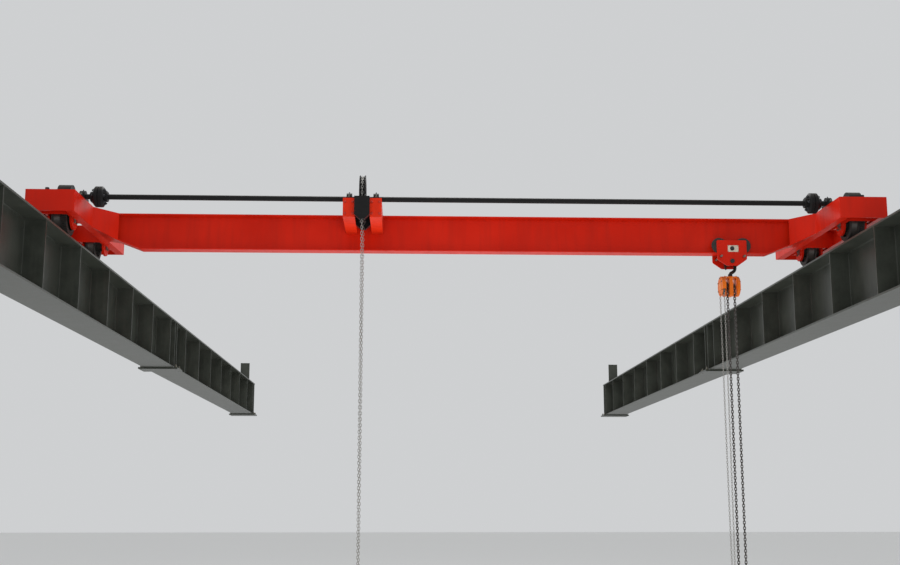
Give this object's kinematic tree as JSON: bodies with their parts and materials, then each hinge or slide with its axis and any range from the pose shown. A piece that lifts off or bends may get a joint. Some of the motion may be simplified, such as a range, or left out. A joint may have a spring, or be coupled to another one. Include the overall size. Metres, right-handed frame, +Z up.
{
  "type": "overhead bridge crane",
  "caption": "Hand-geared single-girder overhead bridge crane on two runway beams, with a push trolley and a manual chain hoist.",
  "frame": {"origin": "middle of the underside of the left runway beam's first bearing plate, at the near end", "axes": "+X across the span towards the right runway beam, +Y along the runway away from the near end, +Z up"},
  "size_m": [7.2, 15.36, 3.723],
  "materials": {
    "graphite_paint": "satin dark grey paint, slightly dusty",
    "rail_steel": "rolled rail, dull brown sides and a worn bright top",
    "crane_paint": "glossy deep red paint",
    "black_paint": "black enamel",
    "wheel_iron": "black cast iron with worn treads",
    "bare_steel": "turned steel with grease",
    "hoist_paint": "orange paint",
    "forged_black": "black forged steel",
    "load_chain_steel": "dark oiled chain",
    "zinc_chain": "galvanised chain, dulled"
  },
  "bodies": {
    "runway": {"left_beam_near": "graphite_paint", "left_beam_far": "graphite_paint", "right_beam_near": "graphite_paint", "right_beam_far": "graphite_paint", "left_rail": "rail_steel", "right_rail": "rail_steel", "bearing_plates": "graphite_paint", "end_stops": "graphite_paint"},
    "bridge": {"girder": "crane_paint", "haunches": "crane_paint", "left_inner_channel": "crane_paint", "left_outer_channel": "crane_paint", "right_inner_channel": "crane_paint", "right_outer_channel": "crane_paint", "carriage_end_plates": "crane_paint", "left_wheel_boxes": "crane_paint", "right_wheel_boxes": "crane_paint", "wheel_axles": "bare_steel", "gear_guards": "black_paint", "shaft_bearings": "black_paint", "left_shaft_arm": "crane_paint", "right_shaft_arm": "crane_paint", "chain_guide": "black_paint", "travel_chain": "zinc_chain"},
    "drive_shaft": {"cross_shaft": "black_paint", "shaft_couplings": "black_paint", "left_pinion": "bare_steel", "right_pinion": "bare_steel", "chain_wheel": "black_paint"},
    "drive_wheel_left": {"left_drive_wheel": "wheel_iron"},
    "drive_wheel_right": {"right_drive_wheel": "wheel_iron"},
    "idle_wheel_left": {"left_idle_wheel": "wheel_iron"},
    "idle_wheel_right": {"right_idle_wheel": "wheel_iron"},
    "trolley": {"trolley_front_plate": "crane_paint", "trolley_back_plate": "crane_paint", "trolley_tie_bolts": "bare_steel", "trolley_axles": "crane_paint"},
    "roller_front_left": {"trolley_wheel_front_left": "wheel_iron"},
    "roller_front_right": {"trolley_wheel_front_right": "wheel_iron"},
    "roller_back_left": {"trolley_wheel_back_left": "wheel_iron"},
    "roller_back_right": {"trolley_wheel_back_right": "wheel_iron"},
    "hoist": {"hoist_top_hook": "forged_black", "hoist_frame": "hoist_paint", "hoist_wheels": "wheel_iron", "hand_wheel_cover": "hoist_paint", "gear_cover": "hoist_paint", "load_chain": "load_chain_steel", "load_hook": "forged_black", "hoist_hand_chain": "zinc_chain"}
  },
  "joints": [
    {"name": "bridge_travel", "type": "slide", "parent": "runway", "child": "bridge", "axis": [0, 1, 0], "range_m": [-2.827, 10.527]},
    {"name": "shaft_spin", "type": "hinge", "parent": "bridge", "child": "drive_shaft", "pos_m": [3.37, 3.1, 0.9982], "axis": [1, 0, 0], "continuous": true},
    {"name": "drive_wheel_left_spin", "type": "hinge", "parent": "bridge", "child": "drive_wheel_left", "pos_m": [0, 3.1, 0.8053], "axis": [1, 0, 0], "continuous": true},
    {"name": "idle_wheel_left_spin", "type": "hinge", "parent": "bridge", "child": "idle_wheel_left", "pos_m": [0, 4.2, 0.8053], "axis": [1, 0, 0], "continuous": true},
    {"name": "drive_wheel_right_spin", "type": "hinge", "parent": "bridge", "child": "drive_wheel_right", "pos_m": [6.74, 3.1, 0.8053], "axis": [1, 0, 0], "continuous": true},
    {"name": "idle_wheel_right_spin", "type": "hinge", "parent": "bridge", "child": "idle_wheel_right", "pos_m": [6.74, 4.2, 0.8053], "axis": [1, 0, 0], "continuous": true},
    {"name": "trolley_travel", "type": "slide", "parent": "bridge", "child": "trolley", "axis": [1, 0, 0], "range_m": [-5.024, 0.096]},
    {"name": "roller_front_left_spin", "type": "hinge", "parent": "trolley", "child": "roller_front_left", "pos_m": [5.726, 3.59, 0.72242], "axis": [0, 1, 0], "continuous": true},
    {"name": "roller_front_right_spin", "type": "hinge", "parent": "trolley", "child": "roller_front_right", "pos_m": [5.942, 3.59, 0.72242], "axis": [0, 1, 0], "continuous": true},
    {"name": "roller_back_left_spin", "type": "hinge", "parent": "trolley", "child": "roller_back_left", "pos_m": [5.726, 3.71, 0.72242], "axis": [0, 1, 0], "continuous": true},
    {"name": "roller_back_right_spin", "type": "hinge", "parent": "trolley", "child": "roller_back_right", "pos_m": [5.942, 3.71, 0.72242], "axis": [0, 1, 0], "continuous": true},
    {"name": "hoist_swing", "type": "hinge", "parent": "trolley", "child": "hoist", "pos_m": [5.834, 3.65, 0.578], "axis": [0, 1, 0], "range_deg": [-10, 10]}
  ],
  "couplings": [
    {"joint": "drive_wheel_left_spin", "follows": "bridge_travel", "rad_per_m": -8},
    {"joint": "drive_wheel_right_spin", "follows": "bridge_travel", "rad_per_m": -8},
    {"joint": "idle_wheel_left_spin", "follows": "bridge_travel", "rad_per_m": -8},
    {"joint": "idle_wheel_right_spin", "follows": "bridge_travel", "rad_per_m": -8},
    {"joint": "shaft_spin", "follows": "bridge_travel", "rad_per_m": 21.333},
    {"joint": "roller_front_left_spin", "follows": "trolley_travel", "rad_per_m": 17.857},
    {"joint": "roller_front_right_spin", "follows": "trolley_travel", "rad_per_m": 17.857},
    {"joint": "roller_back_left_spin", "follows": "trolley_travel", "rad_per_m": 17.857},
    {"joint": "roller_back_right_spin", "follows": "trolley_travel", "rad_per_m": 17.857}
  ]
}
